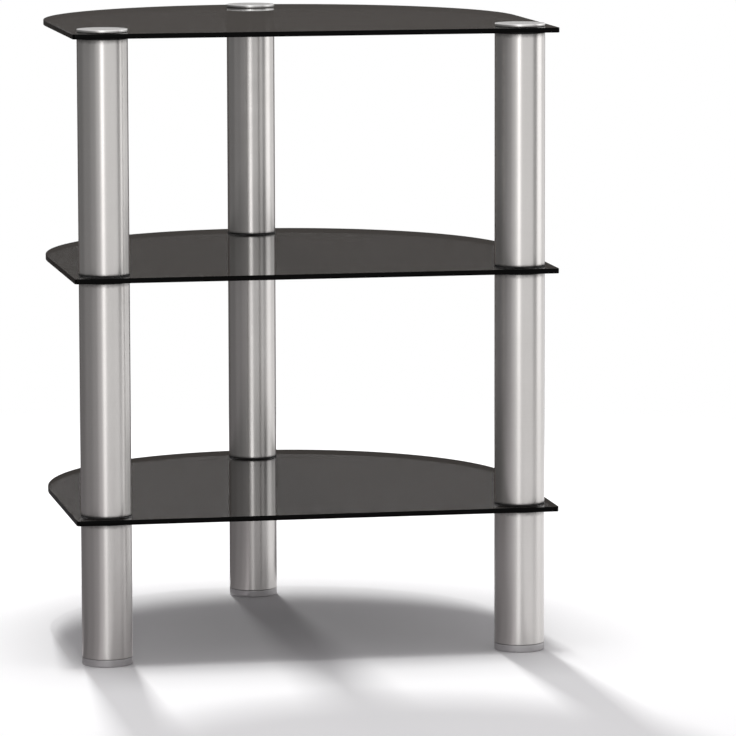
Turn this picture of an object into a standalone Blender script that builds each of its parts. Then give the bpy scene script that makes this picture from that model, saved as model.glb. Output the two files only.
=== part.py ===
"""A three-shelf rack: smoked glass shelves on three round metal legs.

Each leg is three tube sections with an insert in each end. Threaded studs join
one section to the next through the glass, rubber rings part the tubes from the
glass, a turned cap closes each leg and a levelling foot screws into its lower
end. The front faces -Y, +Z is up, and the origin is on the floor under the
middle of the shelves.
"""

import math

import bmesh
import bpy

# Shelves: straight front and sides, half-round back
SHELF_WIDTH = 0.580
SIDE_LENGTH = 0.255
GLASS_THICKNESS = 0.006
FRONT_CORNER_RADIUS = 0.004
GLASS_ARRIS = 0.0005
GLASS_HOLE_CLEARANCE = 0.002

# Legs: two at the front and one at the rear, set in from the glass edges
SIDE_LEG_INSET = 0.040
FRONT_LEG_INSET = 0.040
REAR_LEG_INSET = 0.055
TUBE_DIAMETER = 0.060
TUBE_WALL = 0.002
LOWER_TUBE_LENGTH = 0.161
UPPER_TUBE_LENGTH = 0.277

# End inserts, one pressed into each end of each tube
INSERT_LENGTH = 0.014

# Studs, which join the tubes and carry the caps and the feet
STUD_DIAMETER = 0.010
STUD_POINT = 0.001
STUD_ENGAGEMENT = 0.012

# Rubber rings above and below the glass
WASHER_THICKNESS = 0.001
WASHER_STEP_IN = 0.001
SEAT_RING_THICKNESS = 0.001
SEAT_RING_STEP_OUT = 0.0004
RING_BORE_CLEARANCE = 0.001

# Caps on the top shelf
CAP_THICKNESS = 0.0033
CAP_EDGE = 0.0004

# Levelling feet
FOOT_HEIGHT = 0.0087
FOOT_EDGE = 0.0008
FOOT_TRAVEL = 0.010
FOOT_STUD_RESERVE = 0.002

# Clearances and facet counts
SEAT_GAP = 0.0003
MERGE_DISTANCE = 1e-6
ROUND_SEGMENTS = 36
HIDDEN_SEGMENTS = 20
STUD_SEGMENTS = 12
HOLE_SEGMENTS = 16
CORNER_SEGMENTS = 3
BACK_SEGMENTS = 48
SHARP_ANGLE = math.radians(35)
ARRIS_ANGLE = math.radians(60)
CUTTER_OVERRUN = 0.020

# Sizes that follow from those above
SHELF_RADIUS = SHELF_WIDTH / 2
SHELF_DEPTH = SIDE_LENGTH + SHELF_RADIUS
FRONT_EDGE_Y = -SHELF_DEPTH / 2
BACK_CENTRE_Y = FRONT_EDGE_Y + SIDE_LENGTH
SIDE_LEG_X = SHELF_WIDTH / 2 - SIDE_LEG_INSET
FRONT_LEG_Y = FRONT_EDGE_Y + FRONT_LEG_INSET
REAR_LEG_Y = FRONT_EDGE_Y + SHELF_DEPTH - REAR_LEG_INSET
TUBE_RADIUS = TUBE_DIAMETER / 2
TUBE_BORE_RADIUS = TUBE_RADIUS - TUBE_WALL
STUD_RADIUS = STUD_DIAMETER / 2
GLASS_HOLE_RADIUS = STUD_RADIUS + GLASS_HOLE_CLEARANCE
RING_BORE_RADIUS = STUD_RADIUS + RING_BORE_CLEARANCE

LEGS = {
    "left": (-SIDE_LEG_X, FRONT_LEG_Y),
    "right": (SIDE_LEG_X, FRONT_LEG_Y),
    "rear": (0.0, REAR_LEG_Y),
}
SHELVES = ("bottom", "middle", "top")
SECTIONS = {
    "lower": LOWER_TUBE_LENGTH,
    "middle": UPPER_TUBE_LENGTH,
    "upper": UPPER_TUBE_LENGTH,
}


def stack_heights():
    """Return the lower faces of the tubes and of the shelves, from the floor up."""
    tubes = {}
    shelves = {}
    base = FOOT_HEIGHT + SEAT_GAP
    for section, shelf in zip(SECTIONS, SHELVES):
        tubes[section] = base
        tube_top = base + SECTIONS[section]
        shelves[shelf] = tube_top + SEAT_GAP + WASHER_THICKNESS + SEAT_GAP
        glass_top = shelves[shelf] + GLASS_THICKNESS
        base = glass_top + SEAT_GAP + SEAT_RING_THICKNESS + SEAT_GAP
    return tubes, shelves


TUBE_BASE, SHELF_BASE = stack_heights()


def clear_scene():
    """Remove every object, so that the file holds the rack alone."""
    for item in list(bpy.data.objects):
        bpy.data.objects.remove(item, do_unlink=True)


def make_material(name, colour, roughness, metallic=0.0):
    """Return a Principled material with a linear base colour."""
    material = bpy.data.materials.new(name)
    material.use_nodes = True
    shader = material.node_tree.nodes["Principled BSDF"]
    shader.inputs["Base Color"].default_value = (*colour, 1.0)
    shader.inputs["Roughness"].default_value = roughness
    shader.inputs["Metallic"].default_value = metallic
    material.diffuse_color = (*colour, 1.0)
    return material


def make_materials():
    """Return the finishes of the rack by name."""
    return {
        "glass": make_material("smoked_glass", (0.080, 0.072, 0.067), 0.06),
        "tube": make_material("satin_steel", (0.56, 0.55, 0.54), 0.30, 1.0),
        "cap": make_material("polished_steel", (0.74, 0.73, 0.71), 0.16, 1.0),
        "rubber": make_material("black_rubber", (0.012, 0.012, 0.012), 0.70),
        "foot": make_material("grey_plastic", (0.22, 0.215, 0.218), 0.50),
        "insert": make_material("black_nylon", (0.030, 0.030, 0.031), 0.55),
        "stud": make_material("zinc_steel", (0.60, 0.61, 0.62), 0.38, 1.0),
    }


def turn_profile(bm, profile, segments, centre=(0.0, 0.0)):
    """Turn (radius, height) points about +Z at the centre into a closed body.

    A profile whose first and last points lie on the axis is left open there;
    any other profile is closed into a ring.
    """
    x, y = centre
    corners = [bm.verts.new((x + radius, y, height)) for radius, height in profile]
    edges = [bm.edges.new(pair) for pair in zip(corners, corners[1:])]
    if profile[0][0] > 0.0:
        edges.append(bm.edges.new((corners[-1], corners[0])))
    bmesh.ops.spin(
        bm,
        geom=corners + edges,
        cent=(x, y, 0.0),
        axis=(0.0, 0.0, 1.0),
        angle=2.0 * math.pi,
        steps=segments,
        use_merge=True,
    )


def finish_mesh(bm, name):
    """Close the seams of a bmesh, face it outward and return it as a smooth mesh."""
    bmesh.ops.remove_doubles(bm, verts=bm.verts, dist=MERGE_DISTANCE)
    bmesh.ops.recalc_face_normals(bm, faces=bm.faces)
    mesh = bpy.data.meshes.new(name)
    bm.to_mesh(mesh)
    bm.free()
    mesh.shade_smooth()
    mesh.set_sharp_from_angle(angle=SHARP_ANGLE)
    return mesh


def turned_mesh(name, profile, segments):
    """Return the mesh of one profile turned about its own axis."""
    bm = bmesh.new()
    turn_profile(bm, profile, segments)
    return finish_mesh(bm, name)


def add_object(name, mesh, material, location):
    """Place a mesh as a named object with its material."""
    if not mesh.materials:
        mesh.materials.append(material)
    item = bpy.data.objects.new(name, mesh)
    item.location = location
    bpy.context.scene.collection.objects.link(item)
    return item


def ring_profile(inner, outer, height):
    """Return the square section of a ring."""
    return [(inner, 0.0), (outer, 0.0), (outer, height), (inner, height)]


def cap_profile():
    """Return the half section of a cap: a disc with its stud below it."""
    tip = STUD_RADIUS - STUD_POINT
    glass_to_tube = SEAT_GAP + WASHER_THICKNESS + SEAT_GAP
    stud_end = -(GLASS_THICKNESS + glass_to_tube + STUD_ENGAGEMENT)
    top = SEAT_GAP + CAP_THICKNESS
    return [
        (0.0, stud_end),
        (tip, stud_end),
        (STUD_RADIUS, stud_end + STUD_POINT),
        (STUD_RADIUS, SEAT_GAP),
        (TUBE_RADIUS, SEAT_GAP),
        (TUBE_RADIUS, top - CAP_EDGE),
        (TUBE_RADIUS - CAP_EDGE, top),
        (0.0, top),
    ]


def foot_profile():
    """Return the half section of a foot: a disc with its stud above it."""
    tip = STUD_RADIUS - STUD_POINT
    insert_top = FOOT_HEIGHT + SEAT_GAP + INSERT_LENGTH
    stud_end = insert_top + FOOT_TRAVEL + FOOT_STUD_RESERVE
    return [
        (0.0, 0.0),
        (TUBE_RADIUS - FOOT_EDGE, 0.0),
        (TUBE_RADIUS, FOOT_EDGE),
        (TUBE_RADIUS, FOOT_HEIGHT),
        (STUD_RADIUS, FOOT_HEIGHT),
        (STUD_RADIUS, stud_end - STUD_POINT),
        (tip, stud_end),
        (0.0, stud_end),
    ]


def arc_points(centre, radius, start, stop, steps):
    """Return the points of an arc, both ends included."""
    x, y = centre
    angles = [start + (stop - start) * step / steps for step in range(steps + 1)]
    return [(x + radius * math.cos(a), y + radius * math.sin(a)) for a in angles]


def shelf_outline():
    """Return the shelf's plan, anticlockwise from its front left corner."""
    corner_x = SHELF_RADIUS - FRONT_CORNER_RADIUS
    corner_y = FRONT_EDGE_Y + FRONT_CORNER_RADIUS
    quarter = math.pi / 2
    front_left = arc_points(
        (-corner_x, corner_y), FRONT_CORNER_RADIUS, math.pi, 3 * quarter, CORNER_SEGMENTS
    )
    front_right = arc_points(
        (corner_x, corner_y), FRONT_CORNER_RADIUS, -quarter, 0.0, CORNER_SEGMENTS
    )
    back = arc_points((0.0, BACK_CENTRE_Y), SHELF_RADIUS, 0.0, math.pi, BACK_SEGMENTS)
    return front_left + front_right + back


def shelf_mesh():
    """Return one sheet of glass without its holes."""
    bm = bmesh.new()
    face = bm.faces.new([bm.verts.new((x, y, 0.0)) for x, y in shelf_outline()])
    sheet = bmesh.ops.extrude_face_region(bm, geom=[face])
    raised = [part for part in sheet["geom"] if isinstance(part, bmesh.types.BMVert)]
    bmesh.ops.translate(bm, verts=raised, vec=(0.0, 0.0, GLASS_THICKNESS))
    return finish_mesh(bm, "shelf")


def add_hole_cutter(top):
    """Add the three tall cylinders that drill every shelf at the leg axes."""
    bm = bmesh.new()
    for centre in LEGS.values():
        profile = [
            (0.0, -CUTTER_OVERRUN),
            (GLASS_HOLE_RADIUS, -CUTTER_OVERRUN),
            (GLASS_HOLE_RADIUS, top + CUTTER_OVERRUN),
            (0.0, top + CUTTER_OVERRUN),
        ]
        turn_profile(bm, profile, HOLE_SEGMENTS, centre)
    cutter = bpy.data.objects.new("hole_cutter", finish_mesh(bm, "hole_cutter"))
    cutter.hide_render = True
    cutter.display_type = "WIRE"
    bpy.context.scene.collection.objects.link(cutter)
    return cutter


def add_shelves(materials):
    """Add the three drilled sheets of glass."""
    cutter = add_hole_cutter(SHELF_BASE["top"])
    mesh = shelf_mesh()
    for shelf in SHELVES:
        item = add_object(
            f"shelf_{shelf}", mesh, materials["glass"], (0.0, 0.0, SHELF_BASE[shelf])
        )
        arris = item.modifiers.new("arris", "BEVEL")
        arris.width = GLASS_ARRIS
        arris.segments = 1
        arris.limit_method = "ANGLE"
        arris.angle_limit = ARRIS_ANGLE
        drill = item.modifiers.new("drill", "BOOLEAN")
        drill.operation = "DIFFERENCE"
        drill.solver = "EXACT"
        drill.object = cutter


def add_tubes(materials):
    """Add each leg's three tube sections and the insert in each of their ends."""
    insert_outer = TUBE_BORE_RADIUS - SEAT_GAP
    insert_bore = STUD_RADIUS + SEAT_GAP
    insert = turned_mesh(
        "insert", ring_profile(insert_bore, insert_outer, INSERT_LENGTH), HIDDEN_SEGMENTS
    )
    for section, length in SECTIONS.items():
        profile = ring_profile(TUBE_BORE_RADIUS, TUBE_RADIUS, length)
        tube = turned_mesh(f"tube_{section}", profile, ROUND_SEGMENTS)
        low = TUBE_BASE[section]
        high = low + length - INSERT_LENGTH
        for leg, (x, y) in LEGS.items():
            name = f"{leg}_{section}"
            add_object(f"tube_{name}", tube, materials["tube"], (x, y, low))
            add_object(f"insert_{name}_low", insert, materials["insert"], (x, y, low))
            add_object(f"insert_{name}_high", insert, materials["insert"], (x, y, high))


def add_rings(materials):
    """Add the rubber rings under each shelf and under each tube that stands on one."""
    washer = turned_mesh(
        "washer",
        ring_profile(RING_BORE_RADIUS, TUBE_RADIUS - WASHER_STEP_IN, WASHER_THICKNESS),
        HIDDEN_SEGMENTS,
    )
    seat_ring = turned_mesh(
        "seat_ring",
        ring_profile(RING_BORE_RADIUS, TUBE_RADIUS + SEAT_RING_STEP_OUT, SEAT_RING_THICKNESS),
        ROUND_SEGMENTS,
    )
    rubber = materials["rubber"]
    for leg, (x, y) in LEGS.items():
        for shelf in SHELVES:
            below = SHELF_BASE[shelf] - SEAT_GAP - WASHER_THICKNESS
            add_object(f"washer_{leg}_{shelf}", washer, rubber, (x, y, below))
        for shelf in ("bottom", "middle"):
            above = SHELF_BASE[shelf] + GLASS_THICKNESS + SEAT_GAP
            add_object(f"seat_ring_{leg}_{shelf}", seat_ring, rubber, (x, y, above))


def add_joining_studs(materials):
    """Add the studs that join each tube to the next one through the glass."""
    reach = SHELF_BASE["bottom"] + GLASS_THICKNESS + SEAT_GAP + SEAT_RING_THICKNESS
    tube_gap = reach + SEAT_GAP - TUBE_BASE["lower"] - LOWER_TUBE_LENGTH
    length = tube_gap + 2 * STUD_ENGAGEMENT
    tip = STUD_RADIUS - STUD_POINT
    profile = [
        (0.0, 0.0),
        (tip, 0.0),
        (STUD_RADIUS, STUD_POINT),
        (STUD_RADIUS, length - STUD_POINT),
        (tip, length),
        (0.0, length),
    ]
    stud = turned_mesh("joining_stud", profile, STUD_SEGMENTS)
    for leg, (x, y) in LEGS.items():
        for section, shelf in (("lower", "bottom"), ("middle", "middle")):
            base = TUBE_BASE[section] + SECTIONS[section] - STUD_ENGAGEMENT
            add_object(f"stud_{leg}_{shelf}", stud, materials["stud"], (x, y, base))


def add_caps(materials):
    """Add the cap of each leg, whose origin is on the glass at the leg's axis."""
    cap = turned_mesh("cap", cap_profile(), ROUND_SEGMENTS)
    glass_top = SHELF_BASE["top"] + GLASS_THICKNESS
    for leg, (x, y) in LEGS.items():
        add_object(f"cap_{leg}", cap, materials["cap"], (x, y, glass_top))


def add_feet(materials):
    """Add the levelling feet, whose origins are on the axes along which they slide."""
    foot = turned_mesh("foot", foot_profile(), ROUND_SEGMENTS)
    for leg, (x, y) in LEGS.items():
        add_object(f"foot_{leg}", foot, materials["foot"], (x, y, 0.0))


def main():
    """Build the rack."""
    clear_scene()
    materials = make_materials()
    add_shelves(materials)
    add_tubes(materials)
    add_rings(materials)
    add_joining_studs(materials)
    add_caps(materials)
    add_feet(materials)


main()
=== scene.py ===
"""The looks of a three-shelf rack: smoked glass clamped between satin metal tubes.

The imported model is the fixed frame. Glass, tubes, rubber rings, caps and feet are
modelled again with round sections and dressed with procedural finishes. The end
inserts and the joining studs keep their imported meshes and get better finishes.
"""

import logging
import math
from collections.abc import Callable, Iterable
from dataclasses import dataclass
from enum import Enum

import bmesh
import bpy
from mathutils import Matrix, Vector


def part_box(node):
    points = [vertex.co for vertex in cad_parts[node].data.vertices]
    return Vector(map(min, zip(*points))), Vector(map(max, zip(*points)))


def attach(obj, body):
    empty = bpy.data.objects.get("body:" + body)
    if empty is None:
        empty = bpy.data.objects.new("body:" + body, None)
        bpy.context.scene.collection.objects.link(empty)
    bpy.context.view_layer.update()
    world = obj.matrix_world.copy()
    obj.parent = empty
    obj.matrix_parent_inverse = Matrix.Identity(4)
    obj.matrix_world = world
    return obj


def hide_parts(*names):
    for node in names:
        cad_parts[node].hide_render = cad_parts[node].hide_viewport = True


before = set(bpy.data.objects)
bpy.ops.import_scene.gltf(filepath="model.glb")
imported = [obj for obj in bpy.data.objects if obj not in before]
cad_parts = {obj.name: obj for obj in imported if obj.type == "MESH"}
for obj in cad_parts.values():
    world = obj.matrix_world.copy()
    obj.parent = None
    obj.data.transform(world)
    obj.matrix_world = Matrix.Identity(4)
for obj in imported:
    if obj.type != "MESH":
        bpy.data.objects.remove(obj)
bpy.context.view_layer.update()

LOG = logging.getLogger("rack")
MERGE_DISTANCE = 1e-6
FULL_TURN = 2.0 * math.pi
ORIGIN = Vector((0.0, 0.0, 0.0))
UP = Vector((0.0, 0.0, 1.0))

Colour = tuple[float, float, float]
Edge = tuple[tuple[float, float], tuple[float, float]]
Socket = bpy.types.NodeSocket
Material = bpy.types.Material
Piece = bpy.types.Object
Tree = bpy.types.NodeTree
Mesh = bmesh.types.BMesh
Corner = bmesh.types.BMVert
Inputs = dict[str | int, object]

WHITE: Colour = (1.0, 1.0, 1.0)
FLOOR_TINT: Colour = (1.0, 0.950, 0.980)


class Leg(Enum):
    """The three legs, by their place."""

    LEFT = "left"
    RIGHT = "right"
    REAR = "rear"


class Level(Enum):
    """The three shelves, from the floor up."""

    BOTTOM = "bottom"
    MIDDLE = "middle"
    TOP = "top"


class Section(Enum):
    """The three tube sections of a leg, from the floor up."""

    LOWER = "lower"
    MIDDLE = "middle"
    UPPER = "upper"


class Ring(Enum):
    """The two kinds of rubber ring that part the metal from the glass."""

    SEAT = "seat_ring"
    WASHER = "washer"


# Node trees


def rgba(colour: Socket | Colour) -> Socket | tuple[float, ...]:
    """Return a colour with full opacity, and a socket as it is."""
    return colour if isinstance(colour, Socket) else (*colour, 1.0)


class Board:
    """A node tree with short calls that place its nodes and join them."""

    def __init__(self, tree: Tree) -> None:
        """Start on the node tree to fill, whose first nodes are removed."""
        self.tree = tree
        tree.nodes.clear()

    def add(self, kind: str, inputs: Inputs | None = None, **settings: object) -> bpy.types.Node:
        """Place a node, set it up and join its inputs.

        Args:
            kind: The node's type name.
            inputs: Values or sockets by the name or index of the node's input.
            **settings: Properties of the node itself.

        Returns:
            The new node.
        """
        node = self.tree.nodes.new(kind)
        for name, value in settings.items():
            setattr(node, name, value)
        for key, value in (inputs or {}).items():
            if isinstance(value, Socket):
                self.join(value, node.inputs[key])
            else:
                node.inputs[key].default_value = value
        return node

    def join(self, source: Socket, target: Socket) -> None:
        """Link an output to an input."""
        self.tree.links.new(source, target)

    def math(self, operation: str, first: object, second: object = 0.0) -> Socket:
        """Return the result of a Math node on two values or sockets."""
        return self.add("ShaderNodeMath", {0: first, 1: second}, operation=operation).outputs[0]

    def scaled(self, vector: Socket, factors: object) -> Socket:
        """Return a vector with each of its parts multiplied by its own factor."""
        node = self.add("ShaderNodeVectorMath", {0: vector, 1: factors}, operation="MULTIPLY")
        return node.outputs[0]

    def length(self, vector: Socket) -> Socket:
        """Return the length of a vector."""
        return self.add("ShaderNodeVectorMath", {0: vector}, operation="LENGTH").outputs["Value"]

    def noise(self, inputs: Inputs, dimensions: str = "3D") -> Socket:
        """Return the value of a Noise Texture node."""
        node = self.add("ShaderNodeTexNoise", inputs, noise_dimensions=dimensions)
        return node.outputs["Fac"]

    def spread(self, value: Socket, low: float, high: float) -> Socket:
        """Return a 0 to 1 value stretched between low and high."""
        node = self.add("ShaderNodeMapRange", {"Value": value, "To Min": low, "To Max": high})
        return node.outputs["Result"]

    def ramp(self, value: Socket, start: float, end: float) -> Socket:
        """Return a smooth step from 0 at start to 1 at end."""
        inputs = {"Value": value, "From Min": start, "From Max": end}
        return self.add("ShaderNodeMapRange", inputs, interpolation_type="SMOOTHSTEP").outputs[0]

    def blend(self, factor: Socket, first: Socket | Colour, second: Socket | Colour) -> Socket:
        """Return two colours mixed by a factor."""
        inputs = {0: factor, 6: rgba(first), 7: rgba(second)}
        return self.add("ShaderNodeMix", inputs, data_type="RGBA").outputs[2]

    def bump(self, height: Socket, strength: float, distance: float) -> Socket:
        """Return the normal of a surface raised by a height."""
        inputs = {"Strength": strength, "Distance": distance, "Height": height}
        return self.add("ShaderNodeBump", inputs).outputs[0]

    def object_coordinates(self, centre: Vector | None = None) -> Socket:
        """Return Object coordinates, moved so that they start at a centre.

        Args:
            centre: The point that becomes the pattern's origin, in metres.

        Returns:
            The vector socket.
        """
        vector = self.add("ShaderNodeTexCoord").outputs["Object"]
        if centre is None:
            return vector
        return self.add("ShaderNodeMapping", {"Vector": vector, "Location": -centre}).outputs[0]

    def close_surface(self, shader: bpy.types.Node) -> None:
        """Send a shader to the material's surface output."""
        self.add("ShaderNodeOutputMaterial", {"Surface": shader.outputs[0]})

    def principled(self, inputs: Inputs) -> None:
        """Send a Principled BSDF with these inputs to the surface output."""
        self.close_surface(self.add("ShaderNodeBsdfPrincipled", inputs))


def new_material(name: str) -> tuple[Material, Board]:
    """Start a material.

    Args:
        name: The material's name.

    Returns:
        The material and the board of its empty node tree.
    """
    material = bpy.data.materials.new(name)
    material.use_nodes = True
    return material, Board(material.node_tree)


class Effect(Enum):
    """The shared effects, each one shader node group."""

    GRAIN = "turned_grain"
    CLOUDS = "handling_clouds"
    WEAR_AND_SHADE = "rim_wear_and_shade"
    RINGS = "turned_rings"


class EffectLibrary:
    """Builds each shared effect once and places it in materials."""

    def __init__(self) -> None:
        """Build all effects."""
        self.groups = {
            Effect.GRAIN: self._grain(),
            Effect.CLOUDS: self._clouds(),
            Effect.WEAR_AND_SHADE: self._wear_and_shade(),
            Effect.RINGS: self._rings(),
        }

    @staticmethod
    def _group(
        effect: Effect, inputs: dict[str, float | None], outputs: Iterable[str]
    ) -> tuple[Board, bpy.types.NodeOutputs, bpy.types.NodeInputs]:
        """Start a node group with named sockets.

        Args:
            effect: The effect, which names the group.
            inputs: Each input's default; None makes it a vector.
            outputs: The names of the value outputs.

        Returns:
            The group's board, the sockets that it is given and those that it fills.
        """
        tree = bpy.data.node_groups.new(effect.value, "ShaderNodeTree")
        for name, default in inputs.items():
            kind = "NodeSocketVector" if default is None else "NodeSocketFloat"
            socket = tree.interface.new_socket(name=name, in_out="INPUT", socket_type=kind)
            if default is not None:
                socket.default_value = default
        for name in outputs:
            tree.interface.new_socket(name=name, in_out="OUTPUT", socket_type="NodeSocketFloat")
        board = Board(tree)
        return board, board.add("NodeGroupInput").outputs, board.add("NodeGroupOutput").inputs

    def _grain(self) -> Tree:
        """Make fine scratches that run round an upright axis.

        Returns:
            The effect's node tree.
        """
        board, given, result = self._group(
            Effect.GRAIN, {"Vector": None, "Across": 22.0, "Along": 2600.0}, ("Height", "Streaks")
        )
        across, along = given["Across"], given["Along"]
        stretch = board.add("ShaderNodeCombineXYZ", {"X": across, "Y": across, "Z": along})
        fine = board.scaled(given["Vector"], stretch.outputs[0])
        coarse = board.scaled(fine, (0.35, 0.35, 0.16))
        thin, wide = [
            board.noise({"Vector": source, "Scale": 1.0, "Detail": 2.0, "Roughness": 0.6})
            for source in (fine, coarse)
        ]
        board.join(board.math("ADD", thin, board.math("MULTIPLY", wide, 0.6)), result["Height"])
        board.join(board.ramp(wide, 0.30, 0.70), result["Streaks"])
        return board.tree

    def _clouds(self) -> Tree:
        """Make the broad soft patches that handling and dust leave, and fine specks.

        Returns:
            The effect's node tree.
        """
        board, given, result = self._group(
            Effect.CLOUDS, {"Vector": None, "Scale": 9.0, "Speckle": 420.0}, ("Clouds", "Specks")
        )
        clouds = board.noise(
            {
                "Vector": given["Vector"],
                "Scale": given["Scale"],
                "Detail": 5.0,
                "Roughness": 0.55,
                "Distortion": 0.4,
            }
        )
        specks = board.noise(
            {"Vector": given["Vector"], "Scale": given["Speckle"], "Detail": 2.0}
        )
        board.join(board.ramp(clouds, 0.35, 0.70), result["Clouds"])
        board.join(board.ramp(specks, 0.62, 0.80), result["Specks"])
        return board.tree

    def _wear_and_shade(self) -> Tree:
        """Mark a rim, broken up by noise: wear on most pieces, painted shade at tube ends.

        Returns:
            The effect's node tree.
        """
        board, given, result = self._group(
            Effect.WEAR_AND_SHADE, {"Rim": 0.0, "Vector": None, "Scale": 260.0, "Spread": 0.5}, ("Wear and Shade",)
        )
        noise = board.noise({"Vector": given["Vector"], "Scale": given["Scale"], "Detail": 4.0})
        raised = board.math("ADD", given["Rim"], board.math("MULTIPLY", noise, given["Spread"]))
        board.join(board.ramp(raised, 0.55, 1.25), result["Wear and Shade"])
        return board.tree

    def _rings(self) -> Tree:
        """Make the concentric marks that turning leaves round an upright axis.

        Returns:
            The effect's node tree.
        """
        board, given, result = self._group(
            Effect.RINGS, {"Vector": None, "Pitch": 0.0006, "Waver": 0.25}, ("Height", "Bands")
        )
        flat = board.scaled(given["Vector"], (1.0, 1.0, 0.0))
        radius = board.length(flat)
        noise = board.noise({"Vector": flat, "Scale": 70.0, "Detail": 2.0})
        turns = board.math("DIVIDE", radius, given["Pitch"])
        shifted = board.math("ADD", turns, board.math("MULTIPLY", noise, given["Waver"]))
        wave = board.math("SINE", board.math("MULTIPLY", shifted, FULL_TURN))
        broad = board.noise(
            {"W": board.math("MULTIPLY", radius, 900.0), "Scale": 1.0, "Detail": 2.0}, "1D"
        )
        board.join(wave, result["Height"])
        board.join(board.ramp(broad, 0.35, 0.65), result["Bands"])
        return board.tree

    def place(self, board: Board, effect: Effect, **inputs: object) -> bpy.types.NodeOutputs:
        """Place an effect in a material with its own inputs and return its outputs."""
        return board.add("ShaderNodeGroup", inputs, node_tree=self.groups[effect]).outputs

    def rim_wear_and_shade(self, board: Board, place: Socket, **inputs: object) -> Socket:
        """Return the "rim" mask: wear on most pieces, painted shade on the tubes."""
        rim = board.add("ShaderNodeAttribute", attribute_name="rim").outputs["Fac"]
        return self.place(board, Effect.WEAR_AND_SHADE, Rim=rim, Vector=place, **inputs)["Wear and Shade"]


# Finishes


@dataclass(frozen=True)
class SmokedGlass:
    """Polished grey-brown glass that lets a little light through each face."""

    colour: Colour = (0.0215, 0.0177, 0.0155)
    haze: Colour = (0.050, 0.048, 0.046)
    cloud_share: float = 0.10
    speck_share: float = 0.06
    polished: float = 0.018
    hazed: float = 0.040
    clarity: float = 0.31
    refraction: float = 1.5

    def build(self, effects: EffectLibrary) -> Material:
        """Return the see-through finish of the two large faces.

        Args:
            effects: The shared effects.

        Returns:
            The material.
        """
        material, board = new_material("smoked_glass_face")
        place = board.object_coordinates()
        film = effects.place(board, Effect.CLOUDS, Vector=place, Scale=7.0, Speckle=900.0)
        cloudy = board.spread(film["Clouds"], 0.0, self.cloud_share)
        specked = board.spread(film["Specks"], 0.0, self.speck_share)
        colour = board.blend(cloudy, self.colour, self.haze)
        colour = board.blend(specked, colour, self.haze)
        # A ray that leaves the sheet meets the same reflection as one that enters it
        behind = board.add("ShaderNodeNewGeometry").outputs["Backfacing"]
        index = board.spread(behind, self.refraction, 1.0 / self.refraction)
        mirrored = board.add("ShaderNodeFresnel", {"IOR": index}).outputs["Fac"]
        passed = board.math("MULTIPLY", board.math("SUBTRACT", 1.0, mirrored), self.clarity)
        board.principled(
            {
                "Base Color": colour,
                "Roughness": board.spread(film["Clouds"], self.polished, self.hazed),
                "IOR": self.refraction,
                "Alpha": board.math("SUBTRACT", 1.0, passed),
            }
        )
        return material


@dataclass(frozen=True)
class GlassEdge:
    """The seamed edge of the smoked glass, dark because light is lost inside it."""

    colour: Colour = (0.0012, 0.0011, 0.0010)
    specked: Colour = (0.006, 0.006, 0.006)
    speck_share: float = 0.35
    polished: float = 0.16
    ground: float = 0.26
    shine: float = 0.04

    def build(self, effects: EffectLibrary) -> Material:
        """Return the finish of the ground and polished edge.

        Args:
            effects: The shared effects.

        Returns:
            The material.
        """
        material, board = new_material("smoked_glass_edge")
        place = board.object_coordinates()
        film = effects.place(board, Effect.CLOUDS, Vector=place, Scale=24.0, Speckle=1500.0)
        grind = effects.place(board, Effect.GRAIN, Vector=place, Across=30.0, Along=4000.0)
        specks = board.spread(film["Specks"], 0.0, self.speck_share)
        board.principled(
            {
                "Base Color": board.blend(specks, self.colour, self.specked),
                "Roughness": board.spread(film["Clouds"], self.polished, self.ground),
                "Specular IOR Level": self.shine,
                "Normal": board.bump(grind["Height"], strength=0.12, distance=0.00002),
            }
        )
        return material


@dataclass(frozen=True)
class SatinSteel:
    """Satin plated tube with a fine grain that runs round it."""

    colour: Colour = (0.566, 0.548, 0.533)
    soiled: Colour = (0.520, 0.502, 0.486)
    marked: Colour = (0.640, 0.630, 0.622)
    # Painted shade: the tube turns towards this dark colour at its ends, next to the glass and the
    # rings.
    painted_shade_colour: Colour = (0.215, 0.208, 0.203)
    soil_share: float = 0.35
    mark_share: float = 0.10
    painted_shade_share: float = 0.87
    smooth: float = 0.290
    dull: float = 0.315
    cloud_polish: float = -0.012
    cloud_dulling: float = 0.018
    shade_band_dulling: float = 0.05
    brushing: float = 0.68

    def build(self, effects: EffectLibrary) -> Material:
        """Return the finish of the tubes.

        Args:
            effects: The shared effects.

        Returns:
            The material.
        """
        material, board = new_material("satin_steel_tube")
        place = board.object_coordinates()
        grain = effects.place(board, Effect.GRAIN, Vector=place)
        film = effects.place(board, Effect.CLOUDS, Vector=place, Scale=14.0, Speckle=1300.0)
        # Painted shade near the glass and the rings: the rim mask darkens the tube ends and dulls
        # them a little.
        painted_shade = effects.rim_wear_and_shade(board, place)
        colour: Socket | Colour = self.colour
        for mask, share, over in (
            (film["Clouds"], self.soil_share, self.soiled),
            (grain["Streaks"], self.mark_share, self.marked),
            (painted_shade, self.painted_shade_share, self.painted_shade_colour),
        ):
            colour = board.blend(board.spread(mask, 0.0, share), colour, over)
        rough = board.spread(grain["Streaks"], self.smooth, self.dull)
        uneven = board.spread(film["Clouds"], self.cloud_polish, self.cloud_dulling)
        rough = board.math("ADD", rough, uneven)
        rough = board.math("ADD", rough, board.spread(painted_shade, 0.0, self.shade_band_dulling))
        board.principled(
            {
                "Base Color": colour,
                "Metallic": 1.0,
                "Roughness": rough,
                "Anisotropic": self.brushing,
                "Anisotropic Rotation": 0.25,
                "Normal": board.bump(grain["Height"], strength=0.06, distance=0.00001),
            }
        )
        return material


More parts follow.
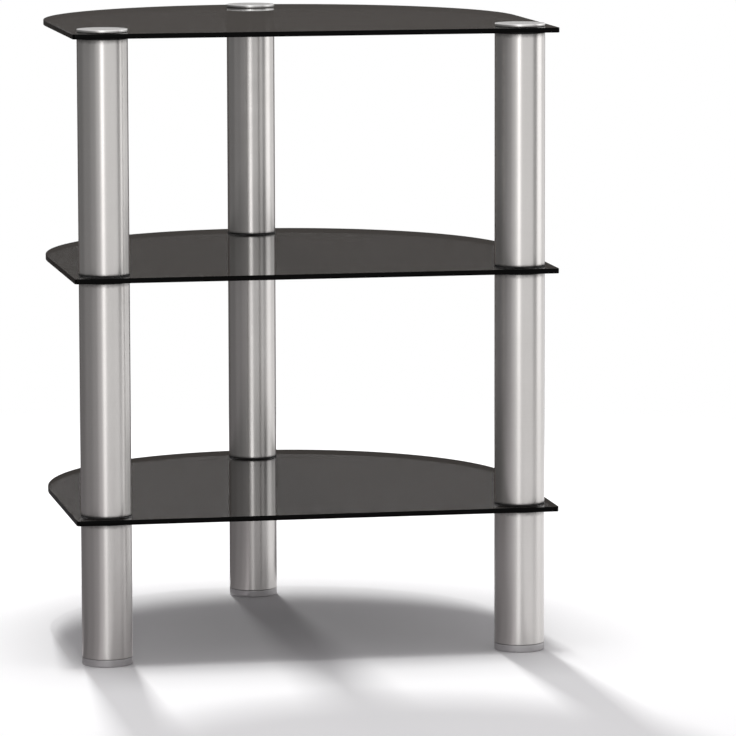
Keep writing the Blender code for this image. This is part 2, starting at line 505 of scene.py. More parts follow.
@dataclass(frozen=True)
class TurnedSteel:
    """Bright steel faced on a lathe, with marks round its own centre."""

    centre: Vector
    colour: Colour = (0.495, 0.484, 0.474)
    marked: Colour = (0.445, 0.436, 0.428)
    rubbed: Colour = (0.83, 0.82, 0.81)
    mark_share: float = 0.6
    smooth: float = 0.30
    dull: float = 0.38
    cloud_dulling: float = 0.04

    def build(self, effects: EffectLibrary, name: str) -> Material:
        """Return the finish of one turned cap.

        Args:
            effects: The shared effects.
            name: The material's name.

        Returns:
            The material.
        """
        material, board = new_material(name)
        place = board.object_coordinates(self.centre)
        rings = effects.place(board, Effect.RINGS, Vector=place)
        film = effects.place(board, Effect.CLOUDS, Vector=place, Scale=40.0, Speckle=1600.0)
        bands = board.spread(rings["Bands"], 0.0, self.mark_share)
        colour = board.blend(bands, self.colour, self.marked)
        rough = board.spread(rings["Bands"], self.smooth, self.dull)
        rough = board.math("ADD", rough, board.spread(film["Clouds"], 0.0, self.cloud_dulling))
        board.principled(
            {
                "Base Color": board.blend(effects.rim_wear_and_shade(board, place), colour, self.rubbed),
                "Metallic": 1.0,
                "Roughness": rough,
                "Normal": board.bump(rings["Height"], strength=0.20, distance=0.000008),
            }
        )
        return material


@dataclass(frozen=True)
class Moulded:
    """A moulded rubber or plastic with a fine pebbled skin and light scuffs."""

    name: str
    colour: Colour
    scuffed: Colour
    roughness: float
    pebble_scale: float
    pebble_strength: float
    metallic: float = 0.0
    cloud_scuffs: float = 0.45
    rim_scuffs: float = 0.8
    cloud_dulling: float = 0.08
    speck_dulling: float = 0.06

    def build(self, effects: EffectLibrary) -> Material:
        """Return the finish.

        Args:
            effects: The shared effects.

        Returns:
            The material.
        """
        material, board = new_material(self.name)
        place = board.object_coordinates()
        film = effects.place(
            board, Effect.CLOUDS, Vector=place, Scale=45.0, Speckle=self.pebble_scale
        )
        skin = {"Vector": place, "Scale": self.pebble_scale}
        pebbles = board.add("ShaderNodeTexVoronoi", skin, feature="SMOOTH_F1").outputs["Distance"]
        wear = effects.rim_wear_and_shade(board, place, Scale=420.0)
        scuffs = board.math(
            "MAXIMUM",
            board.spread(film["Clouds"], 0.0, self.cloud_scuffs),
            board.spread(wear, 0.0, self.rim_scuffs),
        )
        rough = board.math(
            "ADD",
            board.spread(film["Clouds"], self.roughness, self.roughness + self.cloud_dulling),
            board.spread(film["Specks"], 0.0, self.speck_dulling),
        )
        board.principled(
            {
                "Base Color": board.blend(scuffs, self.colour, self.scuffed),
                "Roughness": rough,
                "Metallic": self.metallic,
                "Normal": board.bump(pebbles, self.pebble_strength, distance=0.00005),
            }
        )
        return material


@dataclass(frozen=True)
class ZincPlate:
    """Zinc plated steel of the threaded studs."""

    colour: Colour = (0.60, 0.61, 0.62)
    stained: Colour = (0.47, 0.46, 0.42)
    bright: float = 0.30
    dull: float = 0.46

    def build(self, effects: EffectLibrary) -> Material:
        """Return the finish of the studs.

        Args:
            effects: The shared effects.

        Returns:
            The material.
        """
        material, board = new_material("zinc_plate")
        place = board.object_coordinates()
        film = effects.place(board, Effect.CLOUDS, Vector=place, Scale=170.0, Speckle=1200.0)
        grain = effects.place(board, Effect.GRAIN, Vector=place, Across=90.0, Along=1500.0)
        board.principled(
            {
                "Base Color": board.blend(film["Clouds"], self.colour, self.stained),
                "Metallic": 1.0,
                "Roughness": board.spread(film["Clouds"], self.bright, self.dull),
                "Normal": board.bump(grain["Height"], strength=0.2, distance=0.00002),
            }
        )
        return material


RUBBER = Moulded(
    "black_rubber",
    colour=(0.011, 0.011, 0.011),
    scuffed=(0.030, 0.029, 0.028),
    roughness=0.58,
    pebble_scale=1500.0,
    pebble_strength=0.25,
)
GREY_PLASTIC = Moulded(
    "grey_plastic",
    colour=(0.460, 0.449, 0.453),
    scuffed=(0.500, 0.489, 0.491),
    roughness=0.31,
    pebble_scale=1300.0,
    pebble_strength=0.22,
    metallic=0.55,
)
NYLON = Moulded(
    "black_nylon",
    colour=(0.028, 0.028, 0.029),
    scuffed=(0.055, 0.054, 0.053),
    roughness=0.48,
    pebble_scale=1100.0,
    pebble_strength=0.20,
)


# Meshes


def edge_chain(bm: Mesh, points: Iterable[Vector], closed: bool = False) -> list[Corner]:
    """Add points joined by edges.

    Args:
        bm: The bmesh to add to.
        points: The points in order.
        closed: Whether the last point joins the first.

    Returns:
        The new vertices in order.
    """
    corners = [bm.verts.new(point) for point in points]
    pairs = list(zip(corners, corners[1:]))
    if closed:
        pairs.append((corners[-1], corners[0]))
    for pair in pairs:
        bm.edges.new(pair)
    return corners


def section_chain(
    bm: Mesh, axis: Vector, section: Iterable[tuple[float, float]], closed: bool = False
) -> list[Corner]:
    """Add a turned piece's half section, by distance from its axis and height."""
    return edge_chain(bm, [axis + Vector((r, 0.0, height)) for r, height in section], closed)


def round_off(
    bm: Mesh, parts: list[object], radius: float, segments: int, affect: str = "VERTICES"
) -> None:
    """Round the corners of a profile made of edges, or the edges of a solid.

    Args:
        bm: The bmesh with the parts.
        parts: The corners or edges to round.
        radius: How far the rounding reaches.
        segments: The number of edges or faces in each rounding.
        affect: The kind of the parts, VERTICES or EDGES.
    """
    bmesh.ops.bevel(
        bm,
        geom=parts,
        offset=radius,
        offset_type="OFFSET",
        segments=segments,
        profile=0.5,
        affect=affect,
        material=-1,
    )


def sweep(bm: Mesh, centre: Vector, angle: float, steps: int, **options: object) -> None:
    """Spin every edge of a bmesh round an upright axis.

    Args:
        bm: The bmesh with the edges.
        centre: A point on the axis.
        angle: How far to turn, in radians.
        steps: The number of faces along the turn.
        **options: Further options of the spin operator.
    """
    bmesh.ops.spin(
        bm,
        geom=bm.verts[:] + bm.edges[:],
        cent=centre,
        axis=UP,
        angle=angle,
        steps=steps,
        **options,
    )


def turn_about(bm: Mesh, centre: Vector, steps: int) -> None:
    """Turn every edge of a bmesh once round an upright axis and close the seams."""
    sweep(bm, centre, FULL_TURN, steps, use_merge=True)
    bmesh.ops.remove_doubles(bm, verts=bm.verts[:], dist=MERGE_DISTANCE)


def cut(bm: Mesh, place: Vector, normal: Vector, clear: bool = False) -> None:
    """Cut the whole bmesh along a plane.

    Args:
        bm: The bmesh to cut.
        place: A point on the plane.
        normal: The plane's normal.
        clear: Whether what lies on the normal's side is removed.
    """
    bmesh.ops.bisect_plane(
        bm,
        geom=bm.verts[:] + bm.edges[:] + bm.faces[:],
        dist=MERGE_DISTANCE,
        plane_co=place,
        plane_no=normal,
        clear_outer=clear,
    )


def cut_loops(bm: Mesh, heights: Iterable[float]) -> None:
    """Add level edge loops to the whole bmesh at the heights given."""
    for height in heights:
        cut(bm, UP * height, UP)


def paint_rims(bm: Mesh, nearness: Callable[[Vector], float]) -> None:
    """Store how near each vertex lies to a rim, as the float attribute "rim".

    Args:
        bm: The bmesh to paint.
        nearness: Gives 1 or True on a rim and 0 or False away from it, from a place.
    """
    layer = bm.verts.layers.float.new("rim")
    for vert in bm.verts:
        vert[layer] = float(nearness(vert.co))


def make_object(
    name: str, bm: Mesh, materials: Iterable[Material], sharp_above: float = 40.0
) -> Piece:
    """Turn a bmesh into a finished object with its place in its mesh.

    Args:
        name: The object's name.
        bm: The finished bmesh, which is freed.
        materials: The materials of its slots in order.
        sharp_above: The angle in degrees from which an edge stays sharp.

    Returns:
        The object, linked to the scene.
    """
    bmesh.ops.recalc_face_normals(bm, faces=bm.faces[:])
    for face in bm.faces:
        face.smooth = True
    mesh = bpy.data.meshes.new(name)
    bm.to_mesh(mesh)
    bm.free()
    for material in materials:
        mesh.materials.append(material)
    mesh.set_sharp_from_angle(angle=math.radians(sharp_above))
    item = bpy.data.objects.new(name, mesh)
    bpy.context.scene.collection.objects.link(item)
    return item


def hand_over(item: Piece, body: str, slot: str, *nodes: str) -> Piece:
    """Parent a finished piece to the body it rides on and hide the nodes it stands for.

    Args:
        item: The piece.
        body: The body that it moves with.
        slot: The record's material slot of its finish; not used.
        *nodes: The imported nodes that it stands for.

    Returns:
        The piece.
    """
    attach(item, body)
    if nodes:
        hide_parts(*nodes)
    LOG.info("%s: %d faces on %s", item.name, len(item.data.polygons), body)
    return item


def leg_axis(leg: Leg) -> Vector:
    """Return the point on the floor under a leg's axis."""
    low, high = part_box(f"tube_{leg.value}_{Section.LOWER.value}")
    return Vector(((low.x + high.x) / 2, (low.y + high.y) / 2, 0.0))


def round_room(leg: Leg, node: str) -> tuple[Vector, float, float, float]:
    """Return a leg's axis and a round node's radius, lowest and highest height on it."""
    low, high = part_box(node)
    return leg_axis(leg), (high.x - low.x) / 2, low.z, high.z


# Sub-assemblies


@dataclass
class GlassShelf:
    """One sheet of smoked glass with a half-round back, drilled at the legs."""

    level: Level
    corner_radius: float = 0.004
    corner_segments: int = 8
    arris: float = 0.0005
    arris_segments: int = 3
    arris_angle: float = math.radians(60.0)
    level_from: float = 0.999
    hole_radius: float = 0.007
    back_segments: int = 240
    hole_segments: int = 48

    @property
    def node(self) -> str:
        """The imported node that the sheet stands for."""
        return f"shelf_{self.level.value}"

    def outline(self, bm: Mesh, low: Vector, high: Vector) -> None:
        """Add the sheet's outline: half a circle, two sides and the front edge.

        Args:
            bm: The bmesh to add to.
            low: The sheet's lowest corner.
            high: The sheet's highest corner.
        """
        radius = (high.x - low.x) / 2
        centre = Vector((0.0, high.y - radius, low.z))
        self.circle(bm, centre, radius, self.back_segments)
        cut(bm, centre, Vector((0.0, -1.0, 0.0)), clear=True)
        ends = sorted((v for v in bm.verts if len(v.link_edges) == 1), key=lambda v: v.co.x)
        corners = [bm.verts.new((end.co.x, low.y, low.z)) for end in ends]
        for pair in (*zip(ends, corners), corners):
            bm.edges.new(pair)
        round_off(bm, corners, self.corner_radius, self.corner_segments)

    @staticmethod
    def circle(bm: Mesh, centre: Vector, radius: float, segments: int) -> None:
        """Add a level circle of edges."""
        place = Matrix.Translation(centre)
        bmesh.ops.create_circle(bm, segments=segments, radius=radius, matrix=place)

    def mesh(self) -> Mesh:
        """Model the drilled sheet with its seamed edges.

        Returns:
            The finished bmesh, its edge faces in the second slot.
        """
        low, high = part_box(self.node)
        bm = bmesh.new()
        self.outline(bm, low, high)
        for leg in Leg:
            self.circle(bm, leg_axis(leg) + UP * low.z, self.hole_radius, self.hole_segments)
        bmesh.ops.triangle_fill(
            bm, use_beauty=True, use_dissolve=False, edges=bm.edges[:], normal=UP
        )
        raised = bmesh.ops.extrude_face_region(bm, geom=bm.faces[:])
        bmesh.ops.translate(
            bm,
            verts=[part for part in raised["geom"] if isinstance(part, Corner)],
            vec=UP * (high.z - low.z),
        )
        bmesh.ops.recalc_face_normals(bm, faces=bm.faces[:])
        rims = [
            edge
            for edge in bm.edges
            if len(edge.link_faces) == 2 and edge.calc_face_angle() > self.arris_angle
        ]
        round_off(bm, rims, self.arris, self.arris_segments, "EDGES")
        bmesh.ops.recalc_face_normals(bm, faces=bm.faces[:])
        for face in bm.faces:
            face.material_index = 0 if abs(face.normal.z) > self.level_from else 1
        return bm

    def build(self, face: Material, edge: Material) -> Piece:
        """Make the shelf and hand it over.

        Args:
            face: The finish of the two large faces.
            edge: The finish of the edges.

        Returns:
            The shelf.
        """
        item = make_object(f"glass_sheet_{self.level.value}", self.mesh(), (face, edge))
        for polygon in item.data.polygons:
            polygon.use_smooth = polygon.material_index == 1
        return hand_over(item, "rack", "smoked_glass", self.node)


@dataclass
class LegTube:
    """One length of a leg's tube with softly rounded rims and painted shade near the glass."""

    leg: Leg
    section: Section
    wall: float = 0.002
    rim_radius: float = 0.0006
    rim_segments: int = 4
    upper_reach: float = 0.0090
    lower_reach: float = 0.0045
    foot_reach: float = 0.0010
    loops: tuple[float, ...] = (0.0012, 0.0030, 0.0060, 0.0090)
    steps: int = 128

    @property
    def node(self) -> str:
        """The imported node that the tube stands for."""
        return f"tube_{self.leg.value}_{self.section.value}"

    def mesh(self) -> Mesh:
        """Model the tube.

        Returns:
            The finished bmesh, with "rim" painted at both ends as the mask of painted shade.
        """
        axis, outer, low, high = round_room(self.leg, self.node)
        inner = outer - self.wall
        section = ((inner, low), (outer, low), (outer, high), (inner, high))
        bm = bmesh.new()
        corners = section_chain(bm, axis, section, closed=True)
        round_off(bm, corners, self.rim_radius, self.rim_segments)
        turn_about(bm, axis, self.steps)
        cut_loops(bm, [low + loop for loop in self.loops] + [high - loop for loop in self.loops])
        # The rim mask sets where the tube gets painted shade: near the glass above, the ring
        # below, barely at the foot.
        lower_reach = self.foot_reach if self.section is Section.LOWER else self.lower_reach
        paint_rims(
            bm,
            lambda place: max(
                0.0,
                1.0 - (place.z - low) / lower_reach,
                1.0 - (high - place.z) / self.upper_reach,
            ),
        )
        return bm

    def build(self, finish: Material) -> Piece:
        """Make the tube and hand it over."""
        item = make_object(f"satin_{self.node}", self.mesh(), (finish,), sharp_above=60.0)
        return hand_over(item, "rack", "satin_steel", self.node)


@dataclass
class RubberRing:
    """A thin rubber ring between the metal and the glass."""

    kind: Ring
    leg: Leg
    level: Level
    bore_radius: float = 0.006
    softness: float = 0.30
    rim_segments: int = 4
    rim_width: float = 0.0004
    steps: int = 96

    @property
    def node(self) -> str:
        """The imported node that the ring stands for."""
        return f"{self.kind.value}_{self.leg.value}_{self.level.value}"

    def mesh(self) -> Mesh:
        """Model the ring with rounded rims.

        Returns:
            The finished bmesh, with "rim" painted round its outside.
        """
        axis, outer, low, high = round_room(self.leg, self.node)
        bore = self.bore_radius
        section = ((bore, low), (outer, low), (outer, high), (bore, high))
        bm = bmesh.new()
        corners = section_chain(bm, axis, section, closed=True)
        round_off(bm, corners, self.softness * (high - low), self.rim_segments)
        turn_about(bm, axis, self.steps)
        paint_rims(bm, lambda place: (place - axis).xy.length > outer - self.rim_width)
        return bm

    def build(self, finish: Material) -> Piece:
        """Make the ring and hand it over."""
        item = make_object(f"rubber_{self.node}", self.mesh(), (finish,), sharp_above=60.0)
        return hand_over(item, "rack", "black_rubber", self.node)


@dataclass
class TurnedCap:
    """The bright disc that closes a leg, in one piece with its stud."""

    leg: Leg
    thickness: float = 0.0033
    edge_radius: float = 0.0005
    edge_segments: int = 5
    edge_zone: float = 0.0010
    rim_width: float = 0.0008
    stud_radius: float = 0.005
    stud_point: float = 0.001
    steps: int = 128

    @property
    def node(self) -> str:
        """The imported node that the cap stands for."""
        return f"cap_{self.leg.value}"

    def mesh(self) -> Mesh:
        """Model the cap and its stud.

        Returns:
            The finished bmesh, with "rim" painted round its top edge.
        """
        axis, outer, low, high = round_room(self.leg, self.node)
        seat = high - self.thickness
        bm = bmesh.new()
        section = (
            (0.0, low),
            (self.stud_radius - self.stud_point, low),
            (self.stud_radius, low + self.stud_point),
            (self.stud_radius, seat),
            (outer - self.edge_zone, seat),
            (outer, seat),
            (outer, high),
            (outer - self.edge_zone, high),
            (0.0, high),
        )
        *_, lower, upper, _, _ = section_chain(bm, axis, section)
        round_off(bm, [lower, upper], self.edge_radius, self.edge_segments)
        turn_about(bm, axis, self.steps)
        cut_loops(bm, (seat + self.edge_zone, high - self.edge_zone))
        paint_rims(
            bm,
            lambda place: (place - axis).xy.length > outer - self.rim_width
            and place.z > seat + self.edge_zone,
        )
        return bm

    def build(self, effects: EffectLibrary) -> Piece:
        """Make the cap with marks round its own axis and hand it over.

        Args:
            effects: The shared effects.

        Returns:
            The cap.
        """
        axis, _, _, top = round_room(self.leg, self.node)
        finish = TurnedSteel(axis + UP * top).build(effects, f"turned_steel_{self.leg.value}")
        item = make_object(f"turned_{self.node}", self.mesh(), (finish,))
        return hand_over(item, "rack", "polished_steel", self.node)


@dataclass
class LevellingFoot:
    """A moulded foot disc and the threaded stud that screws into the leg."""

    leg: Leg
    disc_height: float = 0.0087
    hollow: float = 0.0008
    hollow_slope: float = 0.0005
    contact_width: float = 0.0070
    lower_edge: float = 0.0010
    lower_segments: int = 5
    upper_edge: float = 0.0004
    upper_segments: int = 4
    rim_width: float = 0.0012
    lower_rim: float = 0.0006
    upper_rim: float = 0.0002
    stud_radius: float = 0.005
    thread_depth: float = 0.0009
    thread_form: tuple[float, ...] = (0.0, 0.18, 0.52, 0.66)
    pitch: float = 0.0015
    sunk: float = 0.004
    stud_gap: float = 0.0001
    steps: int = 128
    thread_steps: int = 40

    @property
    def node(self) -> str:
        """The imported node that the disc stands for."""
        return f"foot_{self.leg.value}"

    @property
    def body(self) -> str:
        """The body that the foot moves with."""
        return f"levelling_foot_{self.leg.value}"

    def disc_mesh(self) -> Mesh:
        """Model the disc with a hollow underside and a bore for its stud.

        Returns:
            The finished bmesh, with "rim" painted round both its edges.
        """
        axis, outer, low, _ = round_room(self.leg, self.node)
        contact = outer - self.contact_width
        top = low + self.disc_height
        bm = bmesh.new()
        section = (
            (0.0, low + self.hollow),
            (contact - self.hollow_slope, low + self.hollow),
            (contact, low),
            (outer, low),
            (outer, top),
            (self.stud_radius, top),
            (self.stud_radius, top - self.sunk),
            (0.0, top - self.sunk),
        )
        *_, lower, upper, _, _, _ = section_chain(bm, axis, section)
        round_off(bm, [lower], self.lower_edge, self.lower_segments)
        round_off(bm, [upper], self.upper_edge, self.upper_segments)
        turn_about(bm, axis, self.steps)
        cut_loops(bm, (low + 2.0 * self.lower_edge, top - 2.0 * self.upper_edge))
        paint_rims(
            bm,
            lambda place: (place - axis).xy.length > outer - self.rim_width
            and (place.z < low + self.lower_rim or place.z > top - self.upper_rim),
        )
        return bm

    def thread_mesh(self) -> Mesh:
        """Model the stud as one helical thread.

        Returns:
            The finished bmesh, cut level and closed at both ends.
        """
        axis, _, low, high = round_room(self.leg, self.node)
        start = low + self.disc_height - self.sunk + self.stud_gap
        turns = math.ceil((high - start) / self.pitch) + 2
        crest, root = self.stud_radius, self.stud_radius - self.thread_depth
        bm = bmesh.new()
        profile = [
            (radius, start + (turn + part) * self.pitch)
            for turn in range(-2, turns)
            for part, radius in zip(self.thread_form, (root, root, crest, crest))
        ]
        section_chain(bm, axis, profile)
        rise = UP * (self.pitch / self.thread_steps)
        sweep(bm, axis, FULL_TURN, self.thread_steps, dvec=rise, use_merge=False)
        bmesh.ops.remove_doubles(bm, verts=bm.verts[:], dist=MERGE_DISTANCE)
        for height, normal in ((start, -UP), (high, UP)):
            cut(bm, UP * height, normal, clear=True)
        bmesh.ops.holes_fill(bm, edges=[edge for edge in bm.edges if edge.is_boundary])
        return bm

    def build(self, plastic: Material, zinc: Material) -> tuple[Piece, Piece]:
        """Make both pieces and hand them over.

        Args:
            plastic: The finish of the disc.
            zinc: The finish of the stud.

        Returns:
            The disc and the stud.
        """
        leg = self.leg.value
        disc = make_object(f"foot_disc_{leg}", self.disc_mesh(), (plastic,))
        hand_over(disc, self.body, "grey_plastic", self.node)
        stud = make_object(f"foot_thread_{leg}", self.thread_mesh(), (zinc,), sharp_above=25.0)
        return disc, hand_over(stud, self.body, "zinc_steel")


@dataclass
class InnerParts:
    """The end inserts and joining studs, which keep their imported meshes."""

    insert_prefix: str = "insert_"
    stud_prefix: str = "stud_"

    def dress(self, nylon: Material, zinc: Material) -> int:
        """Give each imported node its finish.

        Args:
            nylon: The finish of the inserts.
            zinc: The finish of the studs.

        Returns:
            How many nodes were dressed.
        """
        count = 0
        for prefix, finish in ((self.insert_prefix, nylon), (self.stud_prefix, zinc)):
            for name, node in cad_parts.items():
                if name.startswith(prefix):
                    node.material_slots[0].material = finish
                    count += 1
        LOG.info("inner parts: %d nodes dressed", count)
        return count


# Studio


def seen_directly(board: Board) -> Socket:
    """Tell the rays that see a surface from those that light it.

    Args:
        board: The material's or the world's board.

    Returns:
        The socket that is 1 for camera, glossy and transmission rays and 0 for others.
    """
    path = board.add("ShaderNodeLightPath").outputs
    gloss = board.math("MAXIMUM", path["Is Glossy Ray"], path["Is Transmission Ray"])
    return board.math("MAXIMUM", path["Is Camera Ray"], gloss)


def set_stage(item: Piece, *unseen_by: str) -> Piece:
    """Hide a finished studio item from some kinds of ray.

    Args:
        item: The item.
        *unseen_by: The kinds of ray that don't meet it.

    Returns:
        The item.
    """
    for ray in unseen_by:
        setattr(item, f"visible_{ray}", False)
    LOG.info("studio: %s", item.name)
    return item


@dataclass(frozen=True)
class SoftLamp:
    """A rectangular soft lamp of an even brightness, aimed at a point."""

    name: str
    place: Vector
    target: Vector
    width: float
    height: float
    brightness: float
    in_reflections: bool = False

    def build(self) -> Piece:
        """Make the lamp, its power worked out from its brightness and area.

        Returns:
            The lamp.
        """
        data = bpy.data.lights.new(self.name, "AREA")
        data.shape = "RECTANGLE"
        data.size = self.width
        data.size_y = self.height
        data.energy = self.brightness * math.pi * self.width * self.height
        item = bpy.data.objects.new(self.name, data)
        item.location = self.place
        item.rotation_euler = (self.target - self.place).to_track_quat("-Z", "Y").to_euler()
        item.visible_glossy = self.in_reflections
        bpy.context.scene.collection.objects.link(item)
        LOG.info("lamp %s: %.0f W", self.name, data.energy)
        return item


def wall_edge(distance: float, top: float) -> Edge:
    """Return the upright edge that sweeps a wall, which stands on the floor."""
    return (distance, 0.0), (distance, top)


def mat_edge(inner: float, outer: float, height: float) -> Edge:
    """Return the level edge that sweeps a mat."""
    return (inner, height), (outer, height)


@dataclass(frozen=True)
class Reflector:
    """A board of an even grey that only reflections show, swept round an upright axis.

    Its angles are in degrees from +X, anticlockwise seen from above. Its edge is two
    points by their distance from the axis and their height.
    """

    name: str
    start: float
    end: float
    edge: Edge
    grey: float
    tint: Colour = WHITE
    centre: Vector = ORIGIN
    step: float = 4.0

    def build(self) -> Piece:
        """Sweep the board from its edge.

        Returns:
            The board.
        """
        first = math.radians(self.start)
        out = Vector((math.cos(first), math.sin(first), 0.0))
        turn = self.end - self.start
        bm = bmesh.new()
        edge_chain(bm, [self.centre + out * away + UP * height for away, height in self.edge])
        sweep(bm, self.centre, math.radians(turn), max(2, round(abs(turn) / self.step)))
        material, board = new_material(f"{self.name}_grey")
        shade = {"Color": rgba(self.tint), "Strength": self.grey}
        board.close_surface(board.add("ShaderNodeEmission", shade))
        material.cycles.emission_sampling = "NONE"
        item = make_object(self.name, bm, (material,))
        return set_stage(item, "camera", "diffuse", "transmission", "volume_scatter", "shadow")


@dataclass(frozen=True)
class ShadeNet:
    """A graduated net round the back of the floor space that dims one low lamp."""

    lamp: Vector
    front_line: float = -0.285
    passed: float = 0.15
    fade: float = 0.035
    steps: int = 64

    def build(self) -> Piece:
        """Make the net, cut along the plane through the lamp and the front line.

        Returns:
            The net, which only shadow rays meet.
        """
        low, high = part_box(f"shelf_{Level.BOTTOM.value}")
        radius = (high.x - low.x) / 2
        centre = Vector((0.0, high.y - radius, 0.0))
        bm = bmesh.new()
        section_chain(bm, centre, ((radius, 0.0), (radius, low.z)))
        sweep(bm, centre, math.pi, self.steps)
        line = Vector((0.0, self.front_line, 0.0))
        cut(bm, line, Vector((1.0, 0.0, 0.0)).cross(self.lamp - line), clear=True)
        material, board = new_material("shade_net")
        place = board.add("ShaderNodeSeparateXYZ", {0: board.object_coordinates()})
        raised = board.ramp(place.outputs["Z"], 0.0, self.fade)
        weave = board.blend(raised, WHITE, (self.passed, self.passed, self.passed))
        board.close_surface(board.add("ShaderNodeBsdfTransparent", {"Color": weave}))
        item = make_object("shade_net", bm, (material,))
        return set_stage(item, "camera", "diffuse", "glossy", "transmission", "volume_scatter")


@dataclass(frozen=True)
class Floor:
    """A wide pale floor that is plain white away from the rack."""

    radius: float = 28.0
    albedo: float = 0.95
    shadow_from: float = 0.9
    white_from: float = 2.0
    segments: int = 128

    def build(self) -> Piece:
        """Make the floor.

        Returns:
            The floor disc.
        """
        bm = bmesh.new()
        bmesh.ops.create_circle(bm, cap_ends=True, segments=self.segments, radius=self.radius)
        material, board = new_material("pale_floor")
        colour = rgba((self.albedo, self.albedo, self.albedo))
        pale = board.add("ShaderNodeBsdfDiffuse", {"Color": colour})
        white = board.add("ShaderNodeEmission", {"Strength": 1.0})
        away = board.length(board.object_coordinates())
        plain = board.ramp(away, self.shadow_from, self.white_from)
        mask = board.math("MULTIPLY", plain, seen_directly(board))
        ends = {0: mask, 1: pale.outputs[0], 2: white.outputs[0]}
        board.close_surface(board.add("ShaderNodeMixShader", ends))
        material.cycles.emission_sampling = "NONE"
        return set_stage(make_object("floor", bm, (material,)))


@dataclass(frozen=True)
class Studio:
    """Soft light, a pale floor and grey boards for the metal and the glass to reflect.

    A sector is a name, its first and last angle, its wall's grey and its mats' grey.
    """

    fill: float = 0.32
    fill_tint: Colour = (0.985, 0.950, 0.995)
    low_place: Vector = Vector((0.0, 6.0, 1.41))
    wall_distance: float = 2.5
    wall_top: float = 2.5
    mat_height: float = 0.001
    mat_inner: float = 0.5
    fan_inner: float = 0.032
    fan_heights: tuple[float, ...] = (0.0013, 0.0016, 0.0019)
    single: tuple[Reflector, ...] = (
        Reflector("back_board", 49.0, 124.0, wall_edge(2.5, 1.15), 0.10, (1.0, 0.92, 0.86)),
        Reflector("back_mat", 49.0, 124.0, mat_edge(0.33, 2.5, 0.001), 0.14, FLOOR_TINT),
        Reflector("dip_board", -38.0, -21.5, wall_edge(2.5, 2.5), 0.33),
        Reflector("right_board", -17.0, 9.0, wall_edge(3.0, 2.4), 1.9),
    )
    sectors: tuple[tuple[str, float, float, float, float], ...] = (
        ("left", -191.0, -236.0, 0.21, 0.20),
        ("left_front", -153.0, -191.0, 0.30, 0.27),
        ("front", -131.0, -153.0, 0.40, 0.35),
        ("fade", -115.0, -131.0, 0.68, 0.58),
    )

    def world(self) -> bpy.types.World:
        """Make the scene's world.

        Returns:
            The world: white where it is seen, an even fill elsewhere.
        """
        world = bpy.data.worlds.new("soft_studio")
        world.use_nodes = True
        board = Board(world.node_tree)
        seen = seen_directly(board)
        back = {
            "Color": board.blend(seen, self.fill_tint, WHITE),
            "Strength": board.spread(seen, self.fill, 1.0),
        }
        glow = board.add("ShaderNodeBackground", back)
        board.add("ShaderNodeOutputWorld", {"Surface": glow.outputs[0]})
        bpy.context.scene.world = world
        return world

    def lamps(self) -> list[SoftLamp]:
        """Describe the lamps.

        Returns:
            The lamps of the studio.
        """
        return [
            SoftLamp("overhead", UP * 6.5, ORIGIN, width=1.8, height=1.8, brightness=16.0),
            SoftLamp(
                "low_back", self.low_place, UP * 0.1, width=0.6, height=0.25, brightness=1650.0
            ),
            SoftLamp(
                "front",
                Vector((-1.13, -5.48, 1.85)),
                UP * 0.4,
                width=1.25,
                height=3.6,
                brightness=2.62,
                in_reflections=True,
            ),
        ]

    def boards(self) -> list[Reflector]:
        """Describe the boards.

        Returns:
            The single boards, then each sector's wall, mat and fans at the legs.
        """
        wall = wall_edge(self.wall_distance, self.wall_top)
        mat = mat_edge(self.mat_inner, self.wall_distance, self.mat_height)
        built = list(self.single)
        for name, start, end, wall_grey, mat_grey in self.sectors:
            built.append(Reflector(f"{name}_board", start, end, wall, wall_grey))
            built.append(Reflector(f"{name}_mat", start, end, mat, mat_grey, FLOOR_TINT))
            for leg, height in zip(Leg, self.fan_heights):
                fan = f"{name}_fan_{leg.value}"
                edge, near = mat_edge(self.fan_inner, self.mat_inner, height), leg_axis(leg)
                built.append(Reflector(fan, start, end, edge, mat_grey, FLOOR_TINT, near))
        return built

    def build(self) -> None:
        """Make the floor, the world, the lamps, the boards and the net."""
        Floor().build()
        self.world()
        for item in (*self.lamps(), *self.boards(), ShadeNet(self.low_place)):
            item.build()
        bpy.context.scene.view_settings.view_transform = "Standard"


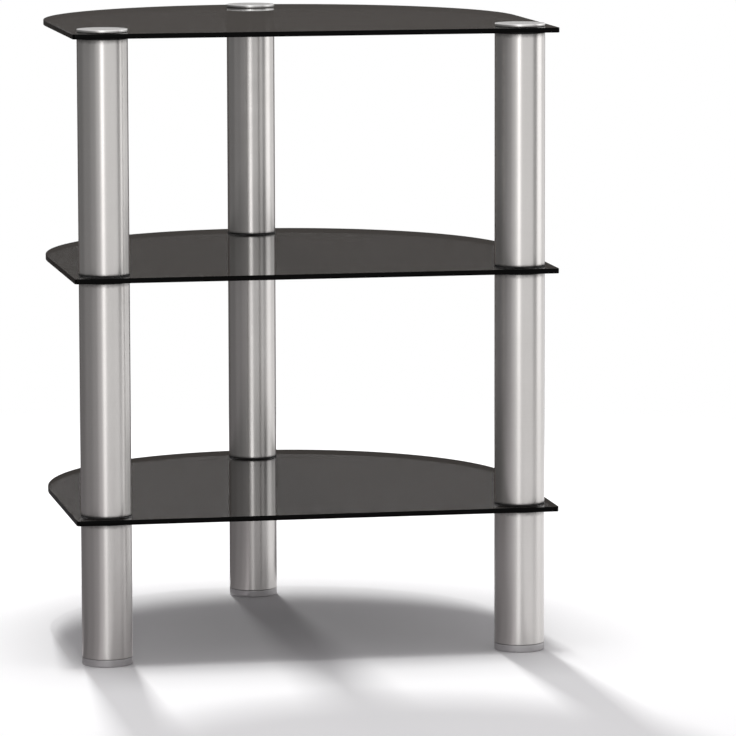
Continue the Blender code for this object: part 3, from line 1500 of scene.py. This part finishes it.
@dataclass(frozen=True)
class Viewpoint:
    """The camera at the photograph's viewing angle."""

    lens: float = 260.272
    sensor: float = 36.0
    yaw: float = math.radians(10.6076)
    pitch: float = math.radians(7.2730)
    roll: float = math.radians(-0.1404)
    place: tuple[float, float, float] = (-1.09110, -6.40856, 1.14728)
    far: float = 100.0

    def build(self) -> Piece:
        """Make the camera.

        Returns:
            The scene's camera.
        """
        level = math.cos(self.pitch)
        ahead = Vector(
            (math.sin(self.yaw) * level, math.cos(self.yaw) * level, -math.sin(self.pitch))
        )
        across = Vector((math.cos(self.yaw), -math.sin(self.yaw), 0.0))
        above = across.cross(ahead)
        right = math.cos(self.roll) * across + math.sin(self.roll) * above
        up = math.cos(self.roll) * above - math.sin(self.roll) * across
        data = bpy.data.cameras.new("viewpoint")
        data.lens = self.lens
        data.sensor_width = self.sensor
        data.clip_end = self.far
        item = bpy.data.objects.new("viewpoint", data)
        turn = Matrix((right, up, -ahead)).transposed()
        item.matrix_world = Matrix.Translation(self.place) @ turn.to_4x4()
        bpy.context.scene.collection.objects.link(item)
        bpy.context.scene.camera = item
        LOG.info("camera at %.3f, %.3f, %.3f", *self.place)
        return item


def main() -> None:
    """Build the rack, its studio and its camera in order."""
    logging.basicConfig(level=logging.INFO, format="%(message)s")
    effects = EffectLibrary()
    finishes = (SmokedGlass(), GlassEdge(), SatinSteel(), RUBBER, GREY_PLASTIC, NYLON, ZincPlate())
    glass, edge, satin, rubber, plastic, nylon, zinc = (kind.build(effects) for kind in finishes)
    for level in Level:
        GlassShelf(level).build(glass, edge)
    for leg in Leg:
        for section in Section:
            LegTube(leg, section).build(satin)
        for level in Level:
            RubberRing(Ring.WASHER, leg, level).build(rubber)
        for level in (Level.BOTTOM, Level.MIDDLE):
            RubberRing(Ring.SEAT, leg, level).build(rubber)
        TurnedCap(leg).build(effects)
        LevellingFoot(leg).build(plastic, zinc)
    InnerParts().dress(nylon, zinc)
    Studio().build()
    Viewpoint().build()


if __name__ == "__main__":
    main()
